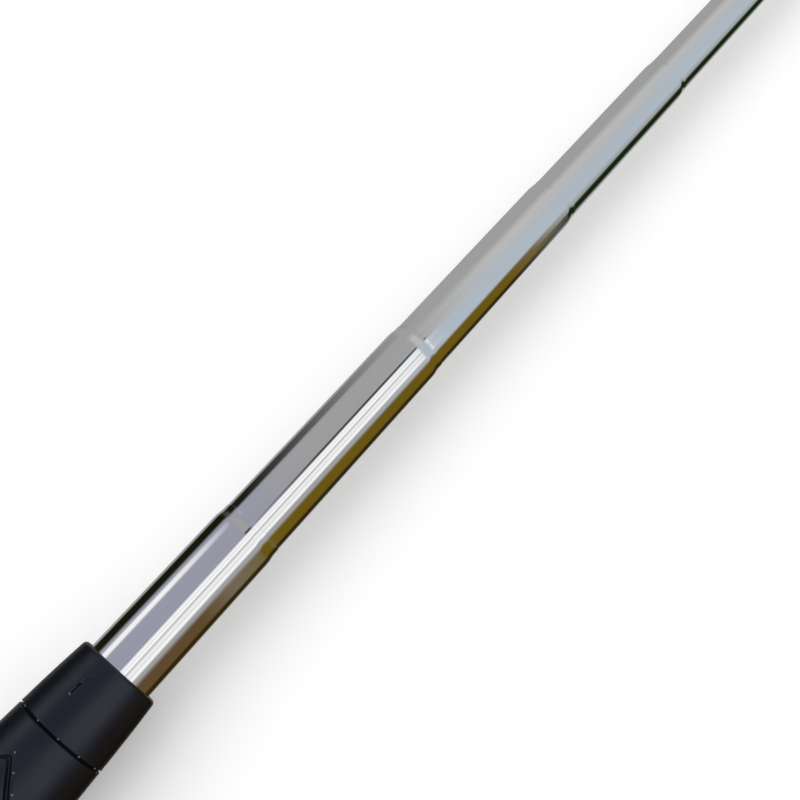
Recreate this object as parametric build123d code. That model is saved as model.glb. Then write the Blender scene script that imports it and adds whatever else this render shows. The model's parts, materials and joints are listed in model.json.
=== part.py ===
"""Telescopic golf ball retriever: rubber grip, seven-section tube and a scoop head with a one-way gate.

Millimetres. The origin is the centre of the butt end face, +X runs along the shaft to the head, and
+Z is up when the retriever lies on a floor. Each piece is one STEP file in parts/.
"""

import math
import os

from build123d import *

# ---------------------------------------------------------------- driving dimensions

# shaft
SECTIONS = 7  # tubes, the base tube included
BASE_TUBE_OD = 16.0
TUBE_STEP = 0.8  # each tube is this much thinner across than the one it slides in
TUBE_WALL = 0.22
BASE_TUBE_LENGTH = 300.0
INNER_TUBE_LENGTH = 292.0
EXPOSED = 60.0  # what each inner tube shows as stored
NECK_LENGTH = 4.0  # the rolled-in mouth of a tube
NECK_LIP = 0.6  # straight stretch at the very end of the neck
NECK_LIP_WALL = 0.08
SLIDE_CLEARANCE = 0.03  # a neck on the tube that it guides
BEAD_HEIGHT = 0.10  # rolled beads that trap the friction sleeve
BEAD_WIDTH = 1.2
SLEEVE_SETBACK = 5.0  # from a tube's inner end to its friction sleeve
SLEEVE_LENGTH = 20.0
SLEEVE_WALL = 0.13
SLEEVE_SLIT = 1.5

# grip
GRIP_LENGTH = 267.0
BUTT_WALL = 6.5  # rubber outside the base tube, at the cap's rim
BUTT_DISC = 5.0  # thickness of the cap's disc
BUTT_RIM_ROUND = 3.0
CAP_SPIGOT_LENGTH = 7.8
CAP_SPIGOT_WALL = 2.0
CAP_SOCKET_WALL = 2.9  # rubber round the cap's spigot
BODY_WALL = 5.9  # rubber outside the base tube, beside the cap
MIDDLE_WALL = 4.6  # the same, at the middle of the grip
MIDDLE_SETBACK = 120.0  # from the grip's mouth back to that middle
GRIP_TAPER = 0.008  # slope of the rubber beside the cap
GRIP_NECK_TAPER = 0.05  # slope of the rubber beside the ring groove
COLLAR_LENGTH = 16.0  # from the grip's mouth to its ring groove
COLLAR_WALL = 2.75  # rubber in front of the groove
COLLAR_STEP = 0.1  # how much prouder the rubber is behind the groove
COLLAR_CROWN = 0.2
MOUTH_WALL = 1.75
MOUTH_ROUND = 0.9
GROOVE_DEPTH = 0.45
GROOVE_WIDTH = 1.1
TAPE_WALL = 0.19
TAPE_MARGIN = 5.0  # bare tube under the grip's mouth
TAPE_END_GAP = 1.0
FIT_GAP = 0.03  # between pieces glued or pushed together

# buffer in the base tube
BUFFER_LENGTH = 12.0
BUFFER_BORE = 2.5
TUBE_SETBACK = 1.5  # from the cap's disc to the base tube
CHAMFER = 0.5  # on the ends of the buffer, the stud and the nut

# head fixing
STUD_RADIUS = 3.0
INSERT_LENGTH = 16.0
INSERT_OVERHANG = 0.7  # how far the insert's flange stands out past the thinnest tube
INSERT_FLANGE = 2.5
INSERT_CHAMFER = 0.4
FLANGE_NOTCHES = 18  # finger notches round the flange
NOTCH_RADIUS = 0.45
NUT_ACROSS_FLATS = 10.0
NUT_HEIGHT = 4.0
STUD_GRIP = 12.0  # stud inside the insert, and inside the scoop's neck

# scoop
BALL_RADIUS = 21.35
BALL_CLEARANCE = 1.65
SCOOP_WALL = 2.2
BELL_FLARE = 1.8
BELL_LENGTH = 7.0
BELL_LIP = 1.0  # half the thickness of the bell's rounded edge
RING_LENGTH = 28.0
CUP_STRAIGHT = 3.0  # straight wall of the cup in front of its round end
NECK_RADIUS = 7.5
NECK_FLARE = 2.5
NECK_SETBACK = 8.8  # from the ball's centre back to the wide end of the neck
SCOOP_NECK = 16.0
RIB_THICKNESS = 3.2
RIB_START = 1.5  # from the neck's end to a rib's foot
RIB_SINK = 1.0  # how deep a rib's foot is in the neck
RIB_WAIST = (0.66, 0.3)  # the low point of a rib's edge, along and up its span
TOP_RIB_TIP = 33.0  # degrees round the cup, from its back
SIDE_RIB_TIP = 43.0
SIDE_RIB_TURN = 75.0  # degrees round the neck, from the top
FOOT_WIDTH = 24.0
FOOT_SETBACK = 3.0  # from the scoop's front edge
CUP_SKID = 13.9  # from the ball's centre back to the end of the foot
DRAIN_WIDTH = 6.0
DRAIN_LENGTH = 15.0
DRAIN_MARGIN = 1.0  # from the ball's middle back to the slots
DRAIN_ANGLES = (45, 90, 135, 180, 225, 270, 315)  # round the cup, from the top
WINDOW_WIDTH = 9.0
WINDOW_LENGTH = 14.0
WINDOW_ANGLES = (45, 90, 135, 225, 270, 315)  # round the scoop, from the top
LUG_RADIUS = 4.0
LUG_THICKNESS = 3.0
SCREW_RADIUS = 1.2
SCREW_HEAD_RADIUS = 2.3
SCREW_HEAD_HEIGHT = 1.5
SCREW_HEAD_ROUND = 0.7
SCREW_HEAD_GAP = 0.2  # between a screw's head and the scoop's wall
SCREW_HOLE_CLEARANCE = 0.15
SOCKET_ACROSS_FLATS = 1.5
SOCKET_DEPTH = 0.9

# gate
GATE_REACH = 17.0  # hinge line to tip
GATE_WIDTH = 15.0
GATE_THICKNESS = 2.0
GATE_CORNER = 5.2
GATE_SLOT_CLEARANCE = 0.5
GATE_TIP_CLEARANCE = 1.5  # between the raised gate's tip and the end of the roof slot
STIFFENER_WIDTH = 1.6
STIFFENER_MARGIN = 1.4  # from the gate's side edge
STIFFENER_SETBACK = 5.0  # from the gate's tip
HINGE_ABOVE_BELL = 0.5
HINGE_SETBACK = 5.0  # behind the scoop's front edge
KNUCKLE_RADIUS = 3.0
KNUCKLE_RELIEF = 0.35
PIN_RADIUS = 1.25
PIN_RUNNING = 0.06
PIN_HEAD_RADIUS = 2.3
PIN_HEAD = 1.0
PIN_HEAD_ROUND = 0.5
PIN_STICK_OUT = 2.4
EAR_THICKNESS = 2.8
EAR_RADIUS = 3.6
EAR_FOOT = 10.0  # from the pin back to the foot of an ear
EAR_DROP = 7.0  # from the pin down to the foot of an ear
EAR_BACK = (0.8, 0.6)  # where the ear's sloping back meets its round top, in ear radii
TAB_REACH = 9.0
TAB_CORNER = 3.7
TAB_LEAN = 20.0  # degrees behind upright
CLIP_RADIUS = 2.7
CLIP_THICKNESS = 0.6
CLIP_GAP_WIDTH = 1.8
SPRING_WIRE = 0.3  # wire radius
SPRING_RADIUS = 2.1
SPRING_TURNS = 5
SPRING_SPAN = 5.1
SPRING_SIDE_GAP = 0.4  # between the spring and the gate's knuckles
SPRING_ROOM_MARGIN = 0.8  # how far the spring's room runs past the knuckles
RING_LEG_MARGIN = 0.4  # from the end of the spring's leg to the scoop's front edge
GATE_LEG_DROP = 9.0

# cutters
PAST = 1.0  # how far a cutter runs past a face
FAR = 100.0  # past every face of the head

# ---------------------------------------------------------------- places along the shaft

BASE_START = BUTT_DISC + TUBE_SETBACK
GRIP_MOUTH = GRIP_LENGTH
GROOVE_X = GRIP_MOUTH - COLLAR_LENGTH


def tube_radius(number):
    """Outer radius of tube number, where 1 is the base tube."""
    return (BASE_TUBE_OD - TUBE_STEP * (number - 1)) / 2


def bore_radius(number):
    """Bore radius of tube number away from its neck."""
    return tube_radius(number) - TUBE_WALL


def tube_end(number):
    """Where tube number ends towards the head, as stored."""
    return BASE_START + BASE_TUBE_LENGTH + EXPOSED * (number - 1)


def tube_start(number):
    """Where tube number begins, as stored."""
    length = BASE_TUBE_LENGTH if number == 1 else INNER_TUBE_LENGTH
    return tube_end(number) - length


BUTT_RADIUS = tube_radius(1) + BUTT_WALL
BODY_RADIUS = tube_radius(1) + BODY_WALL
COLLAR_RADIUS = tube_radius(1) + COLLAR_WALL
MOUTH_RADIUS = tube_radius(1) + MOUTH_WALL
CAP_SPIGOT_RADIUS = BODY_RADIUS - CAP_SOCKET_WALL

SHAFT_END = tube_end(SECTIONS)
INSERT_FLANGE_RADIUS = tube_radius(SECTIONS) + INSERT_OVERHANG
FLANGE_END = SHAFT_END + INSERT_FLANGE
NUT_START = FLANGE_END + FIT_GAP
SCOOP_START = NUT_START + NUT_HEIGHT + FIT_GAP

CUP_BORE = BALL_RADIUS + BALL_CLEARANCE
CUP_OUTER = CUP_BORE + SCOOP_WALL
BELL_OUTER_RADIUS = CUP_OUTER + BELL_FLARE
CUP_Z = BELL_OUTER_RADIUS - BUTT_RADIUS  # the bell and the butt touch the floor together
FLOOR_Z = -BUTT_RADIUS
BALL_X = SCOOP_START + SCOOP_NECK + math.sqrt(CUP_OUTER**2 - CUP_Z**2)
SPLIT_X = BALL_X + CUP_STRAIGHT
MOUTH_X = SPLIT_X + RING_LENGTH
HINGE_X = MOUTH_X - HINGE_SETBACK
HINGE_Z = CUP_Z + BELL_OUTER_RADIUS + HINGE_ABOVE_BELL
STOP_X = HINGE_X + GATE_THICKNESS / 2
SLOT_HALF = GATE_WIDTH / 2 + GATE_SLOT_CLEARANCE
LUG_ANGLES = (45, 135, 225, 315)


# ---------------------------------------------------------------- helpers


def turned(edges, z=0.0):
    """A solid turned about the line along X at height z, from a closed outline of (x, radius)."""
    face = Plane.XZ * make_face(edges)
    return Pos(0, 0, z) * revolve(face, Axis.X)


def ring(x0, x1, outer, inner=0.0, z=0.0):
    """A plain tube or disc along X."""
    body = cylinder_x(x0, x1, outer, 0, z)
    if inner:
        body -= cylinder_x(x0 - PAST, x1 + PAST, inner, 0, z)
    return body


def cylinder_x(x0, x1, radius, y=0.0, z=0.0):
    """A round bar along X from x0 to x1."""
    middle = Pos((x0 + x1) / 2, y, z) * Rot(0, 90, 0)
    return middle * Cylinder(radius, x1 - x0)


def cylinder_y(y0, y1, radius, x, z):
    """A round bar along Y from y0 to y1."""
    return Pos(x, (y0 + y1) / 2, z) * Rot(90, 0, 0) * Cylinder(radius, y1 - y0)


def block(x0, x1, y0, y1, z0, z1):
    """A box from its corners."""
    return Pos((x0 + x1) / 2, (y0 + y1) / 2, (z0 + z1) / 2) * Box(x1 - x0, y1 - y0, z1 - z0)


def s_curve(x0, r0, x1, r1):
    """A smooth curve from (x0, r0) to (x1, r1), level at both ends."""
    middle = (x0 + x1) / 2
    return Bezier((x0, r0), (middle, r0), (middle, r1), (x1, r1))


def corner_round(start, corner, end):
    """A quarter round in place of the corner between two points as far from it as each other."""
    centre = (start[0] + end[0] - corner[0], start[1] + end[1] - corner[1])
    share = math.sqrt(0.5)
    middle = tuple(c + (k - c) * share for c, k in zip(centre, corner))
    return ThreePointArc(start, middle, end)


def radial_slot(x_middle, length, width, angle):
    """A round-ended cutter that goes out through the scoop's wall at an angle about its axis."""
    place = Pos(x_middle, 0, CUP_Z) * Rot(angle, 0, 0) * Pos(0, 0, CUP_BORE / 2)
    return place * extrude(SlotOverall(length, width), CUP_OUTER)


def lug_centres():
    """(y, z) of the four screws that join the mouth ring to the cup."""
    reach = CUP_OUTER + SCREW_HEAD_RADIUS + SCREW_HEAD_GAP
    for angle in LUG_ANGLES:
        turn = math.radians(angle)
        yield reach * math.cos(turn), CUP_Z + reach * math.sin(turn)


def above_floor(solid):
    """The part of a solid that is above the surface that the retriever lies on."""
    room = block(SCOOP_START - FAR, MOUTH_X + FAR, -FAR, FAR, FLOOR_Z, FAR)
    return solid & room


# ---------------------------------------------------------------- shaft


def shaft_tube(number):
    """One tube: necked mouth, and on an inner tube the two beads that hold its friction sleeve."""
    start, end = tube_start(number), tube_end(number)
    outer, bore = tube_radius(number), bore_radius(number)
    edges = []
    if number == SECTIONS:
        edges += [Line((start, bore), (end, bore)), Line((end, bore), (end, outer))]
        outer_end = end
    else:
        lip_bore = tube_radius(number + 1) + SLIDE_CLEARANCE
        lip_outer = lip_bore + NECK_LIP_WALL
        lip_start, neck_start = end - NECK_LIP, end - NECK_LENGTH
        edges += [Line((start, bore), (neck_start, bore))]
        edges.append(s_curve(neck_start, bore, lip_start, lip_bore))
        edges += [
            Line((lip_start, lip_bore), (end, lip_bore)),
            Line((end, lip_bore), (end, lip_outer)),
            Line((end, lip_outer), (lip_start, lip_outer)),
        ]
        edges.append(s_curve(lip_start, lip_outer, neck_start, outer))
        outer_end = neck_start
    at = outer_end
    if number > 1:
        sleeve_start = start + SLEEVE_SETBACK
        for bead_end in (sleeve_start + SLEEVE_LENGTH + BEAD_WIDTH, sleeve_start):
            edges.append(Line((at, outer), (bead_end, outer)))
            top = (bead_end - BEAD_WIDTH / 2, outer + BEAD_HEIGHT)
            at = bead_end - BEAD_WIDTH
            edges.append(ThreePointArc((bead_end, outer), top, (at, outer)))
    edges += [Line((at, outer), (start, outer)), Line((start, outer), (start, bore))]
    return turned(edges)


def friction_sleeve(number):
    """The split spring sleeve in the gap between tube number and the tube round it."""
    start = tube_start(number) + SLEEVE_SETBACK + FIT_GAP
    end = start + SLEEVE_LENGTH - 2 * FIT_GAP
    gap = bore_radius(number - 1) - tube_radius(number)
    inner = tube_radius(number) + (gap - SLEEVE_WALL) / 2
    sleeve = ring(start, end, inner + SLEEVE_WALL, inner)
    half = SLEEVE_SLIT / 2
    slit = block(start - PAST, end + PAST, -half, half, -inner - PAST, 0)
    return sleeve - slit


def tube_buffer():
    """The rubber buffer at the bottom of the base tube, where the inner tubes stop."""
    outer = bore_radius(1) - FIT_GAP
    body = ring(BASE_START, BASE_START + BUFFER_LENGTH, outer, BUFFER_BORE)
    return chamfer(body.edges().filter_by(GeomType.CIRCLE).group_by(Axis.X)[-1], CHAMFER)


# ---------------------------------------------------------------- grip


def grip_sleeve():
    """The tapered rubber sleeve with its plain collar and ring groove."""
    bore = tube_radius(1) + 2 * FIT_GAP + TAPE_WALL
    mouth_bore = tube_radius(1) + FIT_GAP
    tape_end = GRIP_MOUTH - TAPE_MARGIN
    counterbore = CAP_SPIGOT_RADIUS + FIT_GAP
    step = BUTT_DISC + CAP_SPIGOT_LENGTH + FIT_GAP
    back = GROOVE_X - GROOVE_WIDTH / 2
    front = GROOVE_X + GROOVE_WIDTH / 2
    back_radius = COLLAR_RADIUS + COLLAR_STEP
    round_start = GRIP_MOUTH - MOUTH_ROUND
    body = Spline(
        (BUTT_DISC, BODY_RADIUS),
        (GRIP_MOUTH - MIDDLE_SETBACK, tube_radius(1) + MIDDLE_WALL),
        (back, back_radius),
        tangents=((1, -GRIP_TAPER), (1, -GRIP_NECK_TAPER)),
    )
    collar = Bezier(
        (front, COLLAR_RADIUS),
        ((front + round_start) / 2, (COLLAR_RADIUS + MOUTH_RADIUS) / 2 + COLLAR_CROWN),
        (round_start, MOUTH_RADIUS),
    )
    edges = [
        body,
        ThreePointArc(
            (back, back_radius),
            (GROOVE_X, COLLAR_RADIUS - GROOVE_DEPTH),
            (front, COLLAR_RADIUS),
        ),
        collar,
        corner_round(
            (round_start, MOUTH_RADIUS),
            (GRIP_MOUTH, MOUTH_RADIUS),
            (GRIP_MOUTH, MOUTH_RADIUS - MOUTH_ROUND),
        ),
        Line((GRIP_MOUTH, MOUTH_RADIUS - MOUTH_ROUND), (GRIP_MOUTH, mouth_bore)),
        Line((GRIP_MOUTH, mouth_bore), (tape_end, mouth_bore)),
        Line((tape_end, mouth_bore), (tape_end, bore)),
        Line((tape_end, bore), (step, bore)),
        Line((step, bore), (step, counterbore)),
        Line((step, counterbore), (BUTT_DISC, counterbore)),
        Line((BUTT_DISC, counterbore), (BUTT_DISC, BODY_RADIUS)),
    ]
    return turned(edges)


def grip_tape():
    """The layer of double-sided tape that holds the rubber on the base tube."""
    inner = tube_radius(1) + FIT_GAP
    start = BUTT_DISC + CAP_SPIGOT_LENGTH + TAPE_END_GAP
    return ring(start, GRIP_MOUTH - TAPE_MARGIN - TAPE_END_GAP, inner + TAPE_WALL, inner)


def butt_cap():
    """The end cap: a disc with a rounded rim and a spigot that goes into the sleeve."""
    tip = BUTT_DISC + CAP_SPIGOT_LENGTH
    inner = CAP_SPIGOT_RADIUS - CAP_SPIGOT_WALL
    shoulder = BUTT_DISC - FIT_GAP
    face = BUTT_RADIUS - BUTT_RIM_ROUND
    edges = [
        Line((0, 0), (0, face)),
        corner_round((0, face), (0, BUTT_RADIUS), (BUTT_RIM_ROUND, BUTT_RADIUS)),
        Line((BUTT_RIM_ROUND, BUTT_RADIUS), (shoulder, BODY_RADIUS)),
        Line((shoulder, BODY_RADIUS), (shoulder, CAP_SPIGOT_RADIUS)),
        Line((shoulder, CAP_SPIGOT_RADIUS), (tip, CAP_SPIGOT_RADIUS)),
        Line((tip, CAP_SPIGOT_RADIUS), (tip, inner)),
        Line((tip, inner), (shoulder, inner)),
        Line((shoulder, inner), (shoulder, 0)),
        Line((shoulder, 0), (0, 0)),
    ]
    return turned(edges)


# ---------------------------------------------------------------- head fixing


def tip_insert():
    """The threaded brass insert in the thinnest tube, with a flange on the tube's end."""
    body = ring(SHAFT_END - INSERT_LENGTH, SHAFT_END + FIT_GAP, bore_radius(SECTIONS) - FIT_GAP)
    flange = ring(SHAFT_END + FIT_GAP, FLANGE_END, INSERT_FLANGE_RADIUS)
    flange = chamfer(flange.edges().filter_by(GeomType.CIRCLE), INSERT_CHAMFER)
    for notch in range(FLANGE_NOTCHES):
        turn = 2 * math.pi * notch / FLANGE_NOTCHES
        y, z = INSERT_FLANGE_RADIUS * math.cos(turn), INSERT_FLANGE_RADIUS * math.sin(turn)
        flange -= cylinder_x(SHAFT_END - PAST, FLANGE_END + PAST, NOTCH_RADIUS, y, z)
    back = SHAFT_END - INSERT_LENGTH - PAST
    return body + flange - cylinder_x(back, FLANGE_END + PAST, STUD_RADIUS + FIT_GAP)


def head_stud():
    """The stud that the scoop screws on with."""
    stud = ring(SHAFT_END - STUD_GRIP, SCOOP_START + STUD_GRIP, STUD_RADIUS)
    return chamfer(stud.edges().filter_by(GeomType.CIRCLE), CHAMFER)


def jam_nut():
    """The hexagon nut that locks the scoop's direction."""
    outline = RegularPolygon(NUT_ACROSS_FLATS / 2, 6, major_radius=False)
    nut = Plane.YZ.offset(NUT_START) * outline
    nut = extrude(nut, NUT_HEIGHT)
    corner = NUT_ACROSS_FLATS / math.sqrt(3)
    rounded = ring(NUT_START, NUT_START + NUT_HEIGHT, corner)
    rounded = chamfer(rounded.edges().filter_by(GeomType.CIRCLE), CHAMFER)
    bore = STUD_RADIUS + FIT_GAP
    return (nut & rounded) - cylinder_x(NUT_START - PAST, SCOOP_START + PAST, bore)


# ---------------------------------------------------------------- scoop


def ball_room(radius):
    """A round end about the ball's place and a straight bore from there out through the mouth."""
    straight = cylinder_x(BALL_X, MOUTH_X + PAST, radius, z=CUP_Z)
    return Pos(BALL_X, 0, CUP_Z) * Sphere(radius) + straight


def gusset(turn, tip_angle):
    """A curved-edge rib from the scoop's neck to the back of the cup, turned about the neck."""
    foot = SCOOP_START + RIB_START
    root = NECK_RADIUS - RIB_SINK
    aside = CUP_Z * math.sin(math.radians(turn))
    middle = CUP_Z * math.cos(math.radians(turn))
    reach = math.sqrt((CUP_OUTER - SCOOP_WALL / 4) ** 2 - aside**2)
    rise = math.radians(tip_angle)
    tip = (BALL_X - reach * math.cos(rise), middle + reach * math.sin(rise))
    waist = (foot + (tip[0] - foot) * RIB_WAIST[0], root + (tip[1] - root) * RIB_WAIST[1])
    edges = [
        ThreePointArc((foot, root), waist, tip),
        Line(tip, (BALL_X, 0)),
        Line((BALL_X, 0), (foot, 0)),
        Line((foot, 0), (foot, root)),
    ]
    plate = extrude(Plane.XZ * make_face(edges), RIB_THICKNESS / 2, both=True)
    return Rot(turn, 0, 0) * plate


def screw_lugs(x0, x1):
    """The four lugs of one half of the scoop joint."""
    lugs = None
    for y, z in lug_centres():
        lug = cylinder_x(x0, x1, LUG_RADIUS, y, z)
        lugs = lug if lugs is None else lugs + lug
    return lugs


def screw_holes(x0, x1, radius):
    """Cutters for the four screws."""
    holes = None
    for y, z in lug_centres():
        hole = cylinder_x(x0, x1, radius, y, z)
        holes = hole if holes is None else holes + hole
    return holes


def foot_pad(x0, x1):
    """A flat skid under the scoop, which stops it from rolling."""
    half = FOOT_WIDTH / 2
    pad = block(x0, x1, -half, half, FLOOR_Z, CUP_Z - math.sqrt(CUP_BORE**2 - half**2))
    return pad - ball_room(CUP_BORE + SCOOP_WALL / 2)


def scoop_cup():
    """The back half of the scoop: neck, ribs, round cup with drain slots, and screw lugs."""
    shell = Pos(BALL_X, 0, CUP_Z) * Sphere(CUP_OUTER)
    shell -= block(BALL_X, BALL_X + FAR, -FAR, FAR, -FAR, FAR)
    shell += cylinder_x(BALL_X, SPLIT_X, CUP_OUTER, z=CUP_Z)
    neck_end = BALL_X - NECK_SETBACK
    neck = turned(
        [
            Line((SCOOP_START, 0), (SCOOP_START, NECK_RADIUS)),
            s_curve(SCOOP_START, NECK_RADIUS, neck_end, NECK_RADIUS + NECK_FLARE),
            Line((neck_end, NECK_RADIUS + NECK_FLARE), (neck_end, 0)),
            Line((neck_end, 0), (SCOOP_START, 0)),
        ]
    )
    shell += neck
    shell += gusset(0, TOP_RIB_TIP)
    for turn in (SIDE_RIB_TURN, -SIDE_RIB_TURN):
        shell += gusset(turn, SIDE_RIB_TIP)
    shell += screw_lugs(SPLIT_X - LUG_THICKNESS, SPLIT_X)
    shell += foot_pad(BALL_X - CUP_SKID, SPLIT_X)
    shell -= ball_room(CUP_BORE)
    slot_middle = BALL_X - DRAIN_LENGTH / 2 - DRAIN_MARGIN
    for angle in DRAIN_ANGLES:
        shell -= radial_slot(slot_middle, DRAIN_LENGTH, DRAIN_WIDTH, angle)
    stud_end = SCOOP_START + STUD_GRIP + FIT_GAP
    shell -= cylinder_x(SCOOP_START - PAST, stud_end, STUD_RADIUS + FIT_GAP)
    shell -= screw_holes(SPLIT_X - LUG_THICKNESS - PAST, SPLIT_X + PAST, SCREW_RADIUS + FIT_GAP)
    return above_floor(shell)


def hinge_ears():
    """The two ears over the roof slot that carry the gate's pin."""
    side_view = make_face(
        Polyline(
            (HINGE_X - EAR_FOOT, HINGE_Z - EAR_DROP),
            (HINGE_X - EAR_RADIUS * EAR_BACK[0], HINGE_Z + EAR_RADIUS * EAR_BACK[1]),
            (HINGE_X + EAR_RADIUS, HINGE_Z),
            (HINGE_X + EAR_RADIUS, HINGE_Z - EAR_DROP),
            close=True,
        )
    )
    ears = None
    for side in (-1, 1):
        inner = side * SLOT_HALF
        outer = side * (SLOT_HALF + EAR_THICKNESS)
        y0, y1 = sorted((inner, outer))
        ear = cylinder_y(y0, y1, EAR_RADIUS, HINGE_X, HINGE_Z)
        ear += extrude(Plane.XZ.offset(-y1) * side_view, EAR_THICKNESS)
        ears = ear if ears is None else ears + ear
    return ears


def mouth_ring():
    """The front half of the scoop: windowed ring, bell mouth, roof slot, hinge ears and lugs."""
    start = SPLIT_X + FIT_GAP
    bell_start = MOUTH_X - BELL_LENGTH
    lip_start = MOUTH_X - BELL_LIP
    bell_inner = BELL_OUTER_RADIUS - 2 * BELL_LIP
    edges = [
        Line((start, CUP_BORE), (start, CUP_OUTER)),
        Line((start, CUP_OUTER), (bell_start, CUP_OUTER)),
        s_curve(bell_start, CUP_OUTER, lip_start, BELL_OUTER_RADIUS),
        ThreePointArc(
            (lip_start, BELL_OUTER_RADIUS),
            (MOUTH_X, BELL_OUTER_RADIUS - BELL_LIP),
            (lip_start, bell_inner),
        ),
        Bezier(
            (lip_start, bell_inner),
            ((lip_start + bell_start) / 2, CUP_BORE),
            (bell_start, CUP_BORE),
        ),
        Line((bell_start, CUP_BORE), (start, CUP_BORE)),
    ]
    body = turned(edges, z=CUP_Z)
    body += screw_lugs(start, SPLIT_X + LUG_THICKNESS)
    body += foot_pad(start, MOUTH_X - FOOT_SETBACK)
    body += hinge_ears()
    body -= cylinder_x(SPLIT_X - PAST, bell_start, CUP_BORE, z=CUP_Z)
    middle = (SPLIT_X + LUG_THICKNESS + bell_start) / 2
    for angle in WINDOW_ANGLES:
        body -= radial_slot(middle, WINDOW_LENGTH, WINDOW_WIDTH, angle)
    slot_back = HINGE_X - GATE_REACH - GATE_TIP_CLEARANCE
    body -= block(slot_back, STOP_X + FIT_GAP, -SLOT_HALF, SLOT_HALF, CUP_Z, FAR)
    relief = KNUCKLE_RADIUS + KNUCKLE_RELIEF
    body -= cylinder_y(-SLOT_HALF, SLOT_HALF, relief, HINGE_X, HINGE_Z)
    body -= cylinder_y(-FAR, FAR, PIN_RADIUS + FIT_GAP / 2, HINGE_X, HINGE_Z)
    hole = SCREW_RADIUS + SCREW_HOLE_CLEARANCE
    body -= screw_holes(SPLIT_X - PAST, SPLIT_X + LUG_THICKNESS + PAST, hole)
    return above_floor(body)


def ring_screws():
    """Four pan-head screws through the ring's lugs into the cup's."""
    head_start = SPLIT_X + LUG_THICKNESS + FIT_GAP
    socket_start = head_start + SCREW_HEAD_HEIGHT - SOCKET_DEPTH
    screws = []
    for y, z in lug_centres():
        head = cylinder_x(head_start, head_start + SCREW_HEAD_HEIGHT, SCREW_HEAD_RADIUS, y, z)
        front = head.edges().filter_by(GeomType.CIRCLE).group_by(Axis.X)[-1]
        head = fillet(front, SCREW_HEAD_ROUND)
        shank = cylinder_x(SPLIT_X - LUG_THICKNESS, socket_start, SCREW_RADIUS, y, z)
        socket = Pos(y, z) * RegularPolygon(SOCKET_ACROSS_FLATS / 2, 6, major_radius=False)
        cutter = extrude(Plane.YZ.offset(socket_start) * socket, SOCKET_DEPTH + PAST)
        screws.append(head + shank - cutter)
    return Compound(children=screws)


# ---------------------------------------------------------------- gate


def gate_flap():
    """The swinging gate: two knuckles, a round-ended paddle and a thumb tab."""
    half = GATE_WIDTH / 2
    back = HINGE_X - GATE_THICKNESS / 2
    front = HINGE_X + GATE_THICKNESS / 2
    tip = HINGE_Z - GATE_REACH
    paddle = block(back, front, -half, half, tip, HINGE_Z)
    paddle = fillet(paddle.edges().filter_by(Axis.X).group_by(Axis.Z)[0], GATE_CORNER)
    tab = block(back, front, -half, half, HINGE_Z, HINGE_Z + TAB_REACH)
    tab = fillet(tab.edges().filter_by(Axis.X).group_by(Axis.Z)[-1], TAB_CORNER)
    hinge_line = Pos(HINGE_X, 0, HINGE_Z)
    tab = hinge_line * Rot(0, -TAB_LEAN, 0) * hinge_line.inverse() * tab
    edge = half - STIFFENER_MARGIN
    stiffener = block(
        HINGE_X - GATE_THICKNESS,
        HINGE_X,
        edge - STIFFENER_WIDTH,
        edge,
        tip + STIFFENER_SETBACK,
        HINGE_Z,
    )
    flap = paddle + tab + stiffener + mirror(stiffener, Plane.XZ)
    flap += cylinder_y(-half, half, KNUCKLE_RADIUS, HINGE_X, HINGE_Z)
    room_half = SPRING_SPAN / 2 + SPRING_WIRE + SPRING_SIDE_GAP
    room_back, room_front = HINGE_X - 2 * KNUCKLE_RADIUS, HINGE_X + 2 * KNUCKLE_RADIUS
    reach = KNUCKLE_RADIUS + SPRING_ROOM_MARGIN
    flap -= block(
        room_back, room_front, -room_half, room_half, HINGE_Z - reach, HINGE_Z + reach
    )
    return flap - cylinder_y(-half - PAST, half + PAST, PIN_RADIUS + PIN_RUNNING, HINGE_X, HINGE_Z)


def gate_pin():
    """The headed pin through the ears and the gate."""
    ear = SLOT_HALF + EAR_THICKNESS
    shoulder = -ear - FIT_GAP
    shank = cylinder_y(shoulder, ear + PIN_STICK_OUT, PIN_RADIUS, HINGE_X, HINGE_Z)
    head = cylinder_y(shoulder - PIN_HEAD, shoulder, PIN_HEAD_RADIUS, HINGE_X, HINGE_Z)
    head = fillet(head.edges().filter_by(GeomType.CIRCLE).group_by(Axis.Y)[0], PIN_HEAD_ROUND)
    return shank + head


def pin_clip():
    """The push-on clip at the plain end of the pin."""
    start = SLOT_HALF + EAR_THICKNESS + 2 * FIT_GAP
    end = start + CLIP_THICKNESS
    gap = CLIP_GAP_WIDTH / 2
    clip = cylinder_y(start, end, CLIP_RADIUS, HINGE_X, HINGE_Z)
    clip -= cylinder_y(start - PAST, end + PAST, PIN_RADIUS + FIT_GAP, HINGE_X, HINGE_Z)
    return clip - block(
        HINGE_X - gap, HINGE_X + gap, start - PAST, end + PAST, HINGE_Z - CLIP_RADIUS - PAST, HINGE_Z
    )


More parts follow.
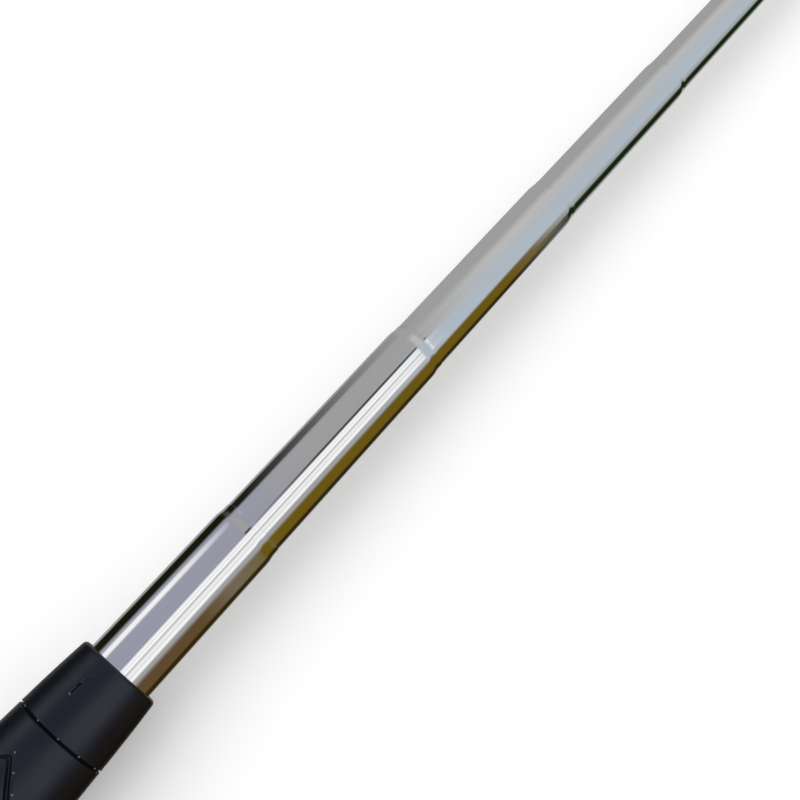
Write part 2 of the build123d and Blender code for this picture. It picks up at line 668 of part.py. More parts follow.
def gate_spring():
    """The torsion spring on the pin: one leg lies on the bell's top, one behind the paddle."""
    leg_end = math.hypot(HINGE_SETBACK - RING_LEG_MARGIN, SPRING_WIRE)
    ring_leg = math.sqrt(leg_end**2 - SPRING_RADIUS**2)
    start_angle = math.degrees(math.acos(SPRING_RADIUS / leg_end))
    back = GATE_THICKNESS / 2 + SPRING_WIRE + FIT_GAP
    gate_end = math.hypot(back, GATE_LEG_DROP)
    gate_leg = math.sqrt(gate_end**2 - SPRING_RADIUS**2)
    end_bearing = 270 - math.degrees(math.atan2(back, GATE_LEG_DROP))
    end_angle = end_bearing - math.degrees(math.acos(SPRING_RADIUS / gate_end))
    sweep_angle = 360 * SPRING_TURNS + end_angle - start_angle
    pitch = SPRING_SPAN * 360 / sweep_angle
    rise = math.atan2(pitch, 2 * math.pi * SPRING_RADIUS)
    turn = math.radians(sweep_angle)
    coil = Helix(pitch=pitch, height=SPRING_SPAN, radius=SPRING_RADIUS)
    first_way = Vector(0, math.cos(rise), math.sin(rise))
    last_way = Vector(
        -math.sin(turn) * math.cos(rise), math.cos(turn) * math.cos(rise), math.sin(rise)
    )
    first_leg = Line(coil @ 0 - first_way * ring_leg, coil @ 0)
    last_leg = Line(coil @ 1, coil @ 1 + last_way * gate_leg)
    path = Wire([first_leg, coil, last_leg])
    section = Plane(origin=path @ 0, z_dir=path % 0) * Circle(SPRING_WIRE)
    wire = sweep(section, path=path, is_frenet=True)
    start = math.radians(start_angle)
    place = Plane(
        origin=(HINGE_X, SPRING_SPAN / 2, HINGE_Z),
        x_dir=(math.cos(start), 0, math.sin(start)),
        z_dir=(0, -1, 0),
    )
    return place.location * wire


# ---------------------------------------------------------------- the assembly


def pieces():
    """Every node's name and solid."""
    yield "butt_cap", butt_cap()
    yield "grip_sleeve", grip_sleeve()
    yield "grip_tape", grip_tape()
    yield "tube_buffer", tube_buffer()
    yield "base_tube", shaft_tube(1)
    for number in range(2, SECTIONS + 1):
        yield f"shaft_tube_{number}", shaft_tube(number)
        yield f"friction_sleeve_{number}", friction_sleeve(number)
    yield "tip_insert", tip_insert()
    yield "head_stud", head_stud()
    yield "jam_nut", jam_nut()
    yield "scoop_cup", scoop_cup()
    yield "mouth_ring", mouth_ring()
    yield "ring_screws", ring_screws()
    yield "gate_flap", gate_flap()
    yield "gate_pin", gate_pin()
    yield "pin_clip", pin_clip()
    yield "gate_spring", gate_spring()


os.makedirs("parts", exist_ok=True)
for name, solid in pieces():
    export_step(solid, f"parts/{name}.step")
print(f"shaft end {SHAFT_END:.3f}, scoop start {SCOOP_START:.3f}, ball centre {BALL_X:.3f}, {CUP_Z:.3f}")
print(f"mouth {MOUTH_X:.3f}, hinge {HINGE_X:.3f}, {HINGE_Z:.3f}, split {SPLIT_X:.3f}")
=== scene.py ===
"""Looks of a telescopic golf ball retriever: rubber grip, mirror-bright tubes, scoop head and sprung gate.

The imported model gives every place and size. Metres, +X from the butt to the scoop, +Z up.
"""

import json
import logging
import math
from bisect import bisect_left
from dataclasses import dataclass
from enum import Enum
from random import Random
from typing import Sequence

import bpy
from mathutils import Matrix, Vector


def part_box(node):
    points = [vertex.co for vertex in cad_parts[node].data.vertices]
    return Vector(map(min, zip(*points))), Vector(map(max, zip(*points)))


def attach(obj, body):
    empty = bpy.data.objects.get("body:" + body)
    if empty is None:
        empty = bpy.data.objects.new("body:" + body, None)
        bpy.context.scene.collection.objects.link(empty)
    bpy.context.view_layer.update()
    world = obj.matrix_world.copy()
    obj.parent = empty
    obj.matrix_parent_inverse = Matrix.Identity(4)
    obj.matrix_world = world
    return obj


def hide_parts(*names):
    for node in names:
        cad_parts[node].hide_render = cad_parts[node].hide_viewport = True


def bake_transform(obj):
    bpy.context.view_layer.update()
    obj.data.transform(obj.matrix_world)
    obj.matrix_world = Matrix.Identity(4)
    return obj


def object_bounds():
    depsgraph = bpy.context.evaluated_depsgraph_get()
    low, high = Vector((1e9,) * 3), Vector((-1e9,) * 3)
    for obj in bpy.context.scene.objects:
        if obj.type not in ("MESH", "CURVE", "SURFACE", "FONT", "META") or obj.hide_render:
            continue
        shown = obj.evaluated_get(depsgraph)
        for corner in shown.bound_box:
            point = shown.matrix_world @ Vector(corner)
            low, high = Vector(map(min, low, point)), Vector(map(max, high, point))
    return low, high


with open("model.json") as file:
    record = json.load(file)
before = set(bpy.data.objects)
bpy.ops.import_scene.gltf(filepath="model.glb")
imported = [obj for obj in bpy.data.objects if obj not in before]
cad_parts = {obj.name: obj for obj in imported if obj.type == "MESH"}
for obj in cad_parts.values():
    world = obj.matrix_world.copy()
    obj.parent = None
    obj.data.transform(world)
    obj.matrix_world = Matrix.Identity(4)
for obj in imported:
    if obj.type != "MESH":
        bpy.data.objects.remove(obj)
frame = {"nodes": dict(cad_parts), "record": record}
CAD_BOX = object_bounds()

LOG = logging.getLogger("retriever")
MM = 0.001
TURN = 2.0 * math.pi

Colour = tuple[float, float, float]


class Slot(Enum):
    """The record's material slots."""

    TUBE = "tube_chrome"
    SLEEVE = "sleeve_bronze"
    GRIP = "grip_rubber"
    CAP = "cap_rubber"
    TAPE = "tape"
    BUFFER = "buffer_rubber"
    BRASS = "insert_brass"
    PLATED = "plated_steel"
    SPRING = "spring_steel"
    SCOOP = "scoop_plastic"
    GATE = "gate_plastic"


# ---------------------------------------------------------------- shader helpers


class Shader:
    """A material's node tree, with short calls for the nodes that the finishes share."""

    def __init__(self, name: str) -> None:
        """Starts a material with one principled shader.

        Args:
            name: The material's name.
        """
        self.material = bpy.data.materials.new(name)
        self.material.use_nodes = True
        self.tree = self.material.node_tree
        self.surface = self.tree.nodes["Principled BSDF"]
        self.place = self.node("ShaderNodeTexCoord").outputs["Object"]

    def node(self, kind: str, **settings: object) -> bpy.types.Node:
        """Adds a node.

        Args:
            kind: Blender's name for the node's type.
            **settings: Properties to set on it.

        Returns:
            The new node.
        """
        made = self.tree.nodes.new(kind)
        for key, value in settings.items():
            setattr(made, key, value)
        return made

    def link(self, source: bpy.types.NodeSocket, target: bpy.types.NodeSocket) -> None:
        """Joins an output to an input."""
        self.tree.links.new(source, target)

    def stretched(self, scale: Sequence[float]) -> bpy.types.NodeSocket:
        """Object coordinates with a scale of their own on each axis.

        Args:
            scale: Factors along X, Y and Z.

        Returns:
            The scaled coordinates.
        """
        mapping = self.node("ShaderNodeMapping")
        mapping.inputs["Scale"].default_value = scale
        self.link(self.place, mapping.inputs["Vector"])
        return mapping.outputs["Vector"]

    def noise(
        self, scale: float, detail: float = 3.0, stretch: Sequence[float] = (1.0, 1.0, 1.0)
    ) -> bpy.types.NodeSocket:
        """Cloudy variation between 0 and 1.

        Args:
            scale: Clouds per metre.
            detail: Octaves of finer clouds.
            stretch: Extra scale along X, Y and Z.

        Returns:
            The noise value.
        """
        clouds = self.node("ShaderNodeTexNoise")
        clouds.inputs["Scale"].default_value = scale
        clouds.inputs["Detail"].default_value = detail
        self.link(self.stretched(stretch), clouds.inputs["Vector"])
        return clouds.outputs["Fac"]

    def cells(self, scale: float) -> bpy.types.NodeSocket:
        """Distance to the nearest of many scattered points.

        Args:
            scale: Points per metre.

        Returns:
            The distance, in cell widths.
        """
        grains = self.node("ShaderNodeTexVoronoi")
        grains.inputs["Scale"].default_value = scale
        self.link(self.place, grains.inputs["Vector"])
        return grains.outputs["Distance"]

    def between(self, value: bpy.types.NodeSocket, low: float, high: float) -> bpy.types.NodeSocket:
        """A value that runs from 0 to 1, moved to run from low to high.

        Args:
            value: The input, about 0.3 to 0.7 for clouds.
            low: The output at 0.3 and below.
            high: The output at 0.7 and above.

        Returns:
            The new value.
        """
        mapped = self.node("ShaderNodeMapRange")
        mapped.inputs["From Min"].default_value = 0.3
        mapped.inputs["From Max"].default_value = 0.7
        mapped.inputs["To Min"].default_value = low
        mapped.inputs["To Max"].default_value = high
        self.link(value, mapped.inputs["Value"])
        return mapped.outputs["Result"]

    def blend(
        self, amount: bpy.types.NodeSocket, first: Colour, second: Colour
    ) -> bpy.types.NodeSocket:
        """A colour between two, by a value from 0 to 1.

        Args:
            amount: Where between the two.
            first: The colour at 0.
            second: The colour at 1.

        Returns:
            The mixed colour.
        """
        mix = self.node("ShaderNodeMix", data_type="RGBA")
        mix.inputs["A"].default_value = (*first, 1.0)
        mix.inputs["B"].default_value = (*second, 1.0)
        self.link(amount, mix.inputs["Factor"])
        return mix.outputs["Result"]

    def colour(self, value: bpy.types.NodeSocket) -> None:
        """Sends a colour to the surface."""
        self.link(value, self.surface.inputs["Base Color"])

    def roughness(self, value: bpy.types.NodeSocket) -> None:
        """Sends a roughness to the surface."""
        self.link(value, self.surface.inputs["Roughness"])

    def fixed(self, **values: float) -> None:
        """Sets numbers that are the same all over the surface.

        Args:
            **values: Socket names with underscores for spaces, and their values.
        """
        for name, value in values.items():
            self.surface.inputs[name.replace("_", " ")].default_value = value

    def bumps(self, *layers: tuple[bpy.types.NodeSocket, float, float]) -> None:
        """Lays height patterns over each other on the surface.

        Args:
            *layers: Height, strength from 0 to 1, and depth in metres.
        """
        below = None
        for height, strength, depth in layers:
            bump = self.node("ShaderNodeBump")
            bump.inputs["Strength"].default_value = strength
            bump.inputs["Distance"].default_value = depth
            self.link(height, bump.inputs["Height"])
            if below is not None:
                self.link(below, bump.inputs["Normal"])
            below = bump.outputs["Normal"]
        self.link(below, self.surface.inputs["Normal"])


# ---------------------------------------------------------------- finishes


@dataclass(frozen=True)
class MirrorTube:
    """Bright polished tube with faint draw lines and a trace of handling."""

    light: Colour = (0.98, 0.98, 0.985)
    dull: Colour = (0.93, 0.935, 0.945)
    smooth: float = 0.012
    handled: float = 0.04

    def paint(self) -> bpy.types.Material:
        """Makes the finish.

        Returns:
            The material.
        """
        shader = Shader("mirror tube")
        shader.fixed(Metallic=1.0)
        smears = shader.noise(55.0, 4.0, (0.35, 1.0, 1.0))
        shader.colour(shader.blend(smears, self.light, self.dull))
        shader.roughness(shader.between(smears, self.smooth, self.handled))
        draw_lines = shader.noise(900.0, 2.0, (0.01, 1.0, 1.0))
        waves = shader.noise(38.0, 1.0, (0.6, 1.0, 1.0))
        shader.bumps((draw_lines, 0.05, 0.00002), (waves, 0.25, 0.00012))
        return shader.material


@dataclass(frozen=True)
class GripRubber:
    """Moulded black rubber with a faint blue cast, a fine matt skin and gloss rubbed up in patches; the
    pips take it in lighter greys, a painted highlight on their tips.
    """

    name: str = "grip rubber"
    deep: Colour = (0.0016, 0.0019, 0.0036)
    bloom_and_glint: Colour = (0.0030, 0.0036, 0.0066)
    tint: Colour = (0.74, 0.80, 1.0)
    low_gloss: float = 0.42
    high_gloss: float = 0.32
    shine: float = 0.66

    def paint(self) -> bpy.types.Material:
        """Makes the finish.

        Returns:
            The material.
        """
        shader = Shader(self.name)
        clouds = shader.noise(70.0, 5.0)
        shader.colour(shader.blend(clouds, self.deep, self.bloom_and_glint))
        shader.roughness(shader.between(shader.noise(120.0, 4.0), self.high_gloss, self.low_gloss))
        shader.fixed(Specular_IOR_Level=self.shine)
        shader.surface.inputs["Specular Tint"].default_value = (*self.tint, 1.0)
        skin = shader.noise(5200.0, 2.0)
        orange_peel = shader.noise(900.0, 2.0)
        shader.bumps((skin, 0.35, 0.00004), (orange_peel, 0.22, 0.00007))
        return shader.material


@dataclass(frozen=True)
class CapRubber:
    """Harder, smoother rubber of the end cap and the buffer."""

    name: str = "cap rubber"
    deep: Colour = (0.009, 0.009, 0.011)
    wear_and_glint: Colour = (0.024, 0.024, 0.026)

    def paint(self) -> bpy.types.Material:
        """Makes the finish.

        Returns:
            The material.
        """
        shader = Shader(self.name)
        shader.colour(shader.blend(shader.noise(160.0, 6.0), self.deep, self.wear_and_glint))
        shader.roughness(shader.between(shader.noise(90.0, 3.0), 0.32, 0.5))
        shader.bumps((shader.noise(3600.0, 2.0), 0.25, 0.00004))
        return shader.material


@dataclass(frozen=True)
class CrepeTape:
    """Cream paper tape with fine cross crepe."""

    light: Colour = (0.72, 0.68, 0.56)
    dark: Colour = (0.58, 0.53, 0.42)

    def paint(self) -> bpy.types.Material:
        """Makes the finish.

        Returns:
            The material.
        """
        shader = Shader("crepe tape")
        crepe = shader.noise(1500.0, 2.0, (1.0, 0.12, 0.12))
        shader.colour(shader.blend(crepe, self.dark, self.light))
        shader.roughness(shader.between(crepe, 0.7, 0.9))
        shader.bumps((crepe, 0.6, 0.00005))
        return shader.material


@dataclass(frozen=True)
class TurnedMetal:
    """Bare metal with tool lines round the shaft's direction and a little tarnish."""

    name: str
    bright: Colour
    tarnish: Colour
    smooth: float = 0.18
    rough: float = 0.36
    lines: float = 2600.0

    def paint(self) -> bpy.types.Material:
        """Makes the finish.

        Returns:
            The material.
        """
        shader = Shader(self.name)
        shader.fixed(Metallic=1.0)
        clouds = shader.noise(240.0, 5.0)
        shader.colour(shader.blend(clouds, self.bright, self.tarnish))
        shader.roughness(shader.between(clouds, self.smooth, self.rough))
        tool_lines = shader.noise(self.lines, 2.0, (1.0, 0.05, 0.05))
        shader.bumps((tool_lines, 0.3, 0.00002), (shader.noise(600.0, 2.0), 0.1, 0.00005))
        return shader.material


@dataclass(frozen=True)
class MouldedPlastic:
    """Injection-moulded plastic with a fine spark grain, soft sinks and rubbed gloss."""

    name: str
    body: Colour
    shade: Colour
    gloss: float = 0.24
    matt: float = 0.4
    grain: float = 4200.0
    coat: float = 0.0

    def paint(self) -> bpy.types.Material:
        """Makes the finish.

        Returns:
            The material.
        """
        shader = Shader(self.name)
        clouds = shader.noise(45.0, 5.0)
        shader.colour(shader.blend(clouds, self.body, self.shade))
        shader.roughness(shader.between(shader.noise(150.0, 4.0), self.gloss, self.matt))
        shader.fixed(Coat_Weight=self.coat, Coat_Roughness=0.18, Subsurface_Weight=0.0)
        spark = shader.cells(self.grain)
        sinks = shader.noise(60.0, 1.0)
        shader.bumps((spark, 0.18, 0.00003), (sinks, 0.2, 0.0003))
        return shader.material


FINISHES: dict[Slot, object] = {
    Slot.TUBE: MirrorTube(),
    Slot.SLEEVE: TurnedMetal("spring bronze", (0.78, 0.5, 0.28), (0.5, 0.3, 0.17)),
    Slot.GRIP: GripRubber(),
    Slot.CAP: CapRubber(),
    Slot.TAPE: CrepeTape(),
    Slot.BUFFER: CapRubber("buffer rubber", (0.02, 0.02, 0.02), (0.05, 0.048, 0.045)),
    Slot.BRASS: TurnedMetal("turned brass", (0.86, 0.66, 0.33), (0.6, 0.43, 0.2)),
    Slot.PLATED: TurnedMetal("plated steel", (0.76, 0.77, 0.79), (0.6, 0.61, 0.62)),
    Slot.SPRING: TurnedMetal("spring wire", (0.66, 0.67, 0.7), (0.45, 0.45, 0.47), 0.14, 0.28),
    Slot.SCOOP: MouldedPlastic("scoop plastic", (0.87, 0.175, 0.012), (0.76, 0.135, 0.008), coat=0.15),
    Slot.GATE: MouldedPlastic("gate plastic", (0.016, 0.016, 0.018), (0.03, 0.03, 0.032), 0.34, 0.5),
}


class Paintbox:
    """Makes each finish once and hands it out."""

    def __init__(self) -> None:
        """Starts with no finish made."""
        self.made: dict[Slot, bpy.types.Material] = {}

    def material(self, slot: Slot) -> bpy.types.Material:
        """The material of a slot.

        Args:
            slot: The record's slot.

        Returns:
            Its material, made on first use.
        """
        if slot not in self.made:
            self.made[slot] = FINISHES[slot].paint()
        return self.made[slot]

    def dress_node(self, node: str, slot: Slot) -> None:
        """Gives a CAD node its finish.

        Args:
            node: The node's name.
            slot: The record's slot.
        """
        piece = frame["nodes"][node]
        piece.data.materials.clear()
        piece.data.materials.append(self.material(slot))

    def dress_piece(self, piece: bpy.types.Object, slot: Slot) -> None:
        """Gives a new piece the finish of a slot.

        Args:
            piece: The piece.
            slot: The record's slot.
        """
        piece.data.materials.append(self.material(slot))


# ---------------------------------------------------------------- mesh helpers


def mesh_piece(
    name: str, points: Sequence[Sequence[float]], faces: Sequence[Sequence[int]], crease: float = 40.0
) -> bpy.types.Object:
    """A mesh object in the row frame, smooth except at edges sharper than the crease.

    Args:
        name: The piece's name.
        points: Vertices, in metres.
        faces: Vertex numbers of each face.
        crease: Degrees above which an edge stays sharp.

    Returns:
        The new object, linked to the scene.
    """
    mesh = bpy.data.meshes.new(name)
    mesh.from_pydata(points, [], faces)
    mesh.polygons.foreach_set("use_smooth", [True] * len(mesh.polygons))
    mesh.set_sharp_from_angle(angle=math.radians(crease))
    mesh.update()
    piece = bpy.data.objects.new(name, mesh)
    bpy.context.scene.collection.objects.link(piece)
    return piece


def loop_faces(rows: int, columns: int, closed: bool = True) -> list[tuple[int, int, int, int]]:
    """Quads over rings of points, where each ring closes on itself.

    Args:
        rows: How many rings.
        columns: Points in a ring.
        closed: Whether the last ring joins the first.

    Returns:
        The faces.
    """
    faces = []
    for row in range(rows if closed else rows - 1):
        here, there = row * columns, ((row + 1) % rows) * columns
        for column in range(columns):
            after = (column + 1) % columns
            faces.append((here + column, here + after, there + after, there + column))
    return faces


def round_x(x: float, radius: float, turn: float) -> tuple[float, float, float]:
    """A point at a radius about the shaft, turned from +Z towards -Y."""
    return x, -radius * math.sin(turn), radius * math.cos(turn)


def turned(name: str, outline: Sequence[tuple[float, float]], columns: int) -> bpy.types.Object:
    """A closed solid of revolution about the shaft.

    Args:
        name: The piece's name.
        outline: Its closed outline of (x, radius), in metres.
        columns: Points round each ring.

    Returns:
        The new object.
    """
    points = [
        round_x(x, radius, TURN * column / columns) for x, radius in outline for column in range(columns)
    ]
    return mesh_piece(name, points, loop_faces(len(outline), columns))


def s_curve(x0: float, r0: float, x1: float, r1: float, count: int) -> list[tuple[float, float]]:
    """Points on a curve between two radii that is level at both ends.

    Args:
        x0: Where it starts.
        r0: The radius there.
        x1: Where it ends.
        r1: The radius there.
        count: How many spans it has.

    Returns:
        The points, both ends included.
    """
    found = []
    middle = (x0 + x1) / 2.0
    for step in range(count + 1):
        at = step / count
        back = 1.0 - at
        along = back**3 * x0 + 3.0 * back * at * middle + at**3 * x1
        rise = at * at * (3.0 - 2.0 * at)
        found.append((along, r0 + (r1 - r0) * rise))
    return found


def arc(
    centre: tuple[float, float], radius: float, first: float, last: float, count: int
) -> list[tuple[float, float]]:
    """Points on an arc of the outline.

    Args:
        centre: Its centre, as (x, radius).
        radius: Its own radius.
        first: Where it starts, in degrees from +X.
        last: Where it ends.
        count: How many spans it has.

    Returns:
        The points, both ends included.
    """
    found = []
    for step in range(count + 1):
        angle = math.radians(first + (last - first) * step / count)
        found.append((centre[0] + radius * math.cos(angle), centre[1] + radius * math.sin(angle)))
    return found


def hollow(distance: float, reach: float) -> float:
    """A round-bottomed hollow: 1 at its middle, 0 at its reach and past it."""
    share = min(abs(distance) / reach, 1.0)
    return (1.0 - share * share) ** 2


def spread(low: float, high: float, pitch: float) -> list[float]:
    """Even places from low to just short of high.

    Args:
        low: The first place.
        high: Where the places end.
        pitch: About how far apart they are.

    Returns:
        The places.
    """
    count = max(1, round((high - low) / pitch))
    return [low + (high - low) * step / count for step in range(count)]


def report(piece: bpy.types.Object) -> None:
    """Logs a piece's name and how many faces it has."""
    LOG.info("%s: %d faces", piece.name, len(piece.data.polygons))


# ---------------------------------------------------------------- shaft


@dataclass
class Shaft:
    """The nested tubes, drawn smooth for their mirror finish, and what is hidden in them."""

    paints: Paintbox
    wall: float = 0.22 * MM
    neck: float = 4.0 * MM
    lip: float = 0.6 * MM
    lip_wall: float = 0.08 * MM
    lip_edge: float = 0.03 * MM
    slide_clearance: float = 0.03 * MM
    bead_height: float = 0.10 * MM
    bead_width: float = 1.2 * MM
    sleeve_setback: float = 5.0 * MM
    sleeve_length: float = 20.0 * MM
    columns: int = 144
    neck_spans: int = 20
    bead_spans: int = 8

    def nodes(self) -> list[str]:
        """The tubes' CAD nodes, thickest first."""
        inner = sorted(name for name in frame["nodes"] if name.startswith("shaft_tube_"))
        return ["base_tube", *inner]

    def outer_radius(self, node: str) -> float:
        """A tube's outer radius away from its beads.

        Args:
            node: The tube's CAD node.

        Returns:
            The radius, in metres.
        """
        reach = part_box(node)[1].y
        return reach if node == "base_tube" else reach - self.bead_height

    def beads(self, start: float, outer: float) -> list[tuple[float, float]]:
        """The outline of the two beads that trap the friction sleeve.

        Args:
            start: The tube's inner end.
            outer: The tube's outer radius.

        Returns:
            Points from the front bead back to the rear one.
        """
        half = self.bead_width / 2.0
        radius = (half * half + self.bead_height**2) / (2.0 * self.bead_height)
        swing = math.degrees(math.asin(half / radius))
        rear = start + self.sleeve_setback - half
        front = rear + self.sleeve_length + self.bead_width
        found: list[tuple[float, float]] = []
        for middle in (front, rear):
            centre = (middle, outer + self.bead_height - radius)
            found += arc(centre, radius, 90.0 - swing, 90.0 + swing, self.bead_spans)
        return found

    def mouth(self, end: float, outer: float, bore: float, held: float) -> list[tuple[float, float]]:
        """The rolled-in neck, from the bore round the lip to the outside.

        Args:
            end: Where the tube ends.
            outer: The tube's outer radius.
            bore: The tube's bore radius.
            held: Outer radius of the tube that slides in the neck.

        Returns:
            The outline's points.
        """
        inside = held + self.slide_clearance
        outside = inside + self.lip_wall
        found = s_curve(end - self.neck, bore, end - self.lip, inside, self.neck_spans)
        found += [(end, inside), (end, outside - self.lip_edge), (end - self.lip_edge, outside)]
        back = s_curve(end - self.lip, outside, end - self.neck, outer, self.neck_spans)
        return found + back

    def outline(self, node: str, next_node: str | None) -> list[tuple[float, float]]:
        """A tube's closed outline.

        Args:
            node: The tube's CAD node.
            next_node: The tube that slides in it, or None for the thinnest.

        Returns:
            Points of (x, radius).
        """
        low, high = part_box(node)
        outer = self.outer_radius(node)
        bore = outer - self.wall
        found = [(low.x, bore)]
        if next_node is None:
            found += [(high.x, bore), (high.x, outer)]
        else:
            found += self.mouth(high.x, outer, bore, self.outer_radius(next_node))
        if node != "base_tube":
            found += self.beads(low.x, outer)
        found.append((low.x, outer))
        return found

    def build(self) -> None:
        """Builds each tube on its own body."""
        nodes = self.nodes()
        bodies = ["base"] + [f"section_{number}" for number in range(2, len(nodes) + 1)]
        for node, next_node, body in zip(nodes, [*nodes[1:], None], bodies):
            tube = turned(f"{node}_polished", self.outline(node, next_node), self.columns)
            self.paints.dress_piece(tube, Slot.TUBE)
            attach(tube, body)
            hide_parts(node)
            report(tube)


# ---------------------------------------------------------------- grip


@dataclass
class Grip:
    """The rubber sleeve with its collar, ring groove, tick and chevron tread, and its moulding pips."""

    paints: Paintbox
    collar: float = 16.0 * MM
    groove_half: float = 0.38 * MM
    groove_depth: float = 0.6 * MM
    cad_groove_half: float = 0.56 * MM
    groove_margin: float = 0.4 * MM
    first_apex: float = 23.5 * MM
    tread_pitch: float = 12.5 * MM
    tread_rows: int = 14
    tread_wide: float = 0.72 * MM
    tread_narrow: float = 0.34 * MM
    tread_deep: float = 0.75 * MM
    tread_shallow: float = 0.4 * MM
    side_ease: float = 0.12
    apex_ease: float = 0.05
    plain_margin: float = 6.0 * MM
    tick_far: float = 2.4 * MM
    tick_near: float = 8.8 * MM
    tick_half: float = 0.34 * MM
    tick_depth: float = 0.55 * MM
    tick_curl: float = 1.3 * MM
    pip_radius: float = 0.27 * MM
    pip_height: float = 0.27 * MM
    pip_root: float = 0.1 * MM
    ring_pips: int = 12
    ring_pip_turn: float = math.radians(25.0)
    ring_pip_ahead: float = 0.3 * MM
    ring_pip_sink: float = 0.2 * MM
    pip_sink: float = 0.08 * MM
    arm_pip_pitch: float = 3.9 * MM
    arm_pip_offset: float = 1.5 * MM
    mouth_round: float = 0.9 * MM
    tape: float = 0.19 * MM
    tape_setback: float = 5.0 * MM
    fit: float = 0.03 * MM
    socket_radius: float = 11.0 * MM
    columns: int = 288
    plain_row_gap: float = 4.0 * MM
    collar_row_gap: float = 0.25 * MM
    lean_rows: int = 9
    upright_rows: int = 14
    land_rows: int = 5
    tread_steps: int = 10
    ring_steps: int = 6

    def __post_init__(self) -> None:
        """Reads the sleeve's outline and bore from the frame."""
        low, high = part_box("grip_sleeve")
        self.start, self.mouth = low.x, high.x
        self.ring = self.mouth - self.collar
        self.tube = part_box("base_tube")[1].y
        self.curve = self.read_outline()
        self.places = [row[0] for row in self.curve]
        self.mid_radius = self.plain(self.ring - self.first_apex)

    def read_outline(self) -> list[tuple[float, float]]:
        """The CAD sleeve's outer line, without its ring groove.

        Returns:
            Points of (x, radius) from the cap to the mouth.
        """
        found: dict[int, float] = {}
        for vertex in frame["nodes"]["grip_sleeve"].data.vertices:
            key = round(vertex.co.x / (0.02 * MM))
            found[key] = max(found.get(key, 0.0), math.hypot(vertex.co.y, vertex.co.z))
        rows = [(key * 0.02 * MM, radius) for key, radius in sorted(found.items())]
        least = self.tube + 0.5 * MM
        return [row for row in rows if abs(row[0] - self.ring) > self.cad_groove_half and row[1] > least]

    def plain(self, x: float) -> float:
        """The sleeve's radius without grooves, on a smooth line through the outline's points.

        Args:
            x: The place along the shaft.

        Returns:
            The radius there.
        """
        rows = self.curve
        after = min(max(bisect_left(self.places, x), 1), len(rows) - 1)
        (x0, r0), (x1, r1) = rows[after - 1], rows[after]
        before, past = rows[max(after - 2, 0)], rows[min(after + 1, len(rows) - 1)]
        span = max(x1 - x0, 1e-9)
        at = min(max((x - x0) / span, 0.0), 1.0)
        slope0 = (r1 - before[1]) / max(x1 - before[0], 1e-9) * span
        slope1 = (past[1] - r0) / max(past[0] - x0, 1e-9) * span
        if self.ring - 2.0 * MM < x < self.ring + 2.0 * MM:
            slope0 = slope1 = r1 - r0
        square, cube = at * at, at**3
        return (
            (2.0 * cube - 3.0 * square + 1.0) * r0
            + (cube - 2.0 * square + at) * slope0
            + (3.0 * square - 2.0 * cube) * r1
            + (cube - square) * slope1
        )

    def lag(self, turn: float) -> float:
        """How far a chevron's arm is behind its apex, at a bearing round the grip.

        Args:
            turn: The bearing from +Z, in radians.

        Returns:
            The distance along the shaft, in metres.
        """
        folded = math.asin(math.sin(turn))
        smooth = math.sqrt(folded * folded + self.apex_ease**2) - self.apex_ease
        return self.mid_radius * min(smooth, math.pi / 2.0)

    def tread_depth_at(self, offset: float, turn: float) -> float:
        """The depth of a tread groove: one arm is wide and deep, the other fine.

        Args:
            offset: How far along the shaft from the groove's middle.
            turn: The bearing from +Z, in radians.

        Returns:
            The depth in metres.
        """
        share = 0.5 + 0.5 * math.tanh(math.sin(2.0 * turn) / self.side_ease)
        half = self.tread_narrow + (self.tread_wide - self.tread_narrow) * share
        depth = self.tread_shallow + (self.tread_deep - self.tread_shallow) * share
        return depth * hollow(offset, half * math.sqrt(2.0))

    def tick_depth_at(self, x: float, turn: float) -> float:
        """The depth of the tick on the collar.

        Args:
            x: The place along the shaft.
            turn: The bearing from +Z.

        Returns:
            The depth in metres.
        """
        near, far = self.mouth - self.tick_near, self.mouth - self.tick_far
        if not near < x < far:
            return 0.0
        share = (x - near) / (far - near)
        across = math.atan2(math.sin(turn), math.cos(turn)) * self.mid_radius
        beside = across - self.tick_curl * share**3
        return self.tick_depth * (1.0 - share) ** 0.6 * hollow(beside, self.tick_half)

    def rows(self) -> list[tuple[float, float, float, float]]:
        """The sleeve's outer rows from the cap to the mouth.

        Returns:
            Each row's place at the apex line, its share of the chevron's slant, its distance from the
            middle of a tread groove, and its ring groove's depth.
        """
        apexes = [self.mouth - self.first_apex - self.tread_pitch * row for row in range(self.tread_rows)]
        apexes.reverse()
        reach = self.tread_wide * math.sqrt(2.0)
        tail = apexes[0] - 1.5 * reach
        flat = tail - self.lag(math.pi / 2.0) - self.plain_margin
        made = [(x, 0.0, reach, 0.0) for x in spread(self.start, flat, self.plain_row_gap)]
        lean = self.lean_rows
        made += [(flat + (tail - flat) * step / lean, step / lean, reach, 0.0) for step in range(lean)]
        gap = self.tread_pitch - 2.0 * reach
        for apex in apexes:
            for step in range(-self.tread_steps, self.tread_steps + 1):
                offset = reach * step / self.tread_steps
                made.append((apex + offset, 1.0, offset, 0.0))
            if apex < apexes[-1]:
                land = range(1, self.land_rows)
                made += [(apex + reach + gap * step / self.land_rows, 1.0, reach, 0.0) for step in land]
        last = apexes[-1] + reach
        front = self.ring - self.groove_half - self.groove_margin
        upright = self.upright_rows
        for step in range(1, upright + 1):
            made.append((last + (front - last) * step / upright, 1.0 - step / upright, reach, 0.0))
        for step in range(-self.ring_steps, self.ring_steps + 1):
            depth = self.groove_depth * hollow(step, self.ring_steps)
            made.append((self.ring + self.groove_half * step / self.ring_steps, 0.0, reach, depth))
        collar_start = self.ring + self.groove_half + self.groove_margin
        edge = self.mouth - self.mouth_round
        made += [(x, 0.0, reach, 0.0) for x in spread(collar_start, edge, self.collar_row_gap)]
        return made

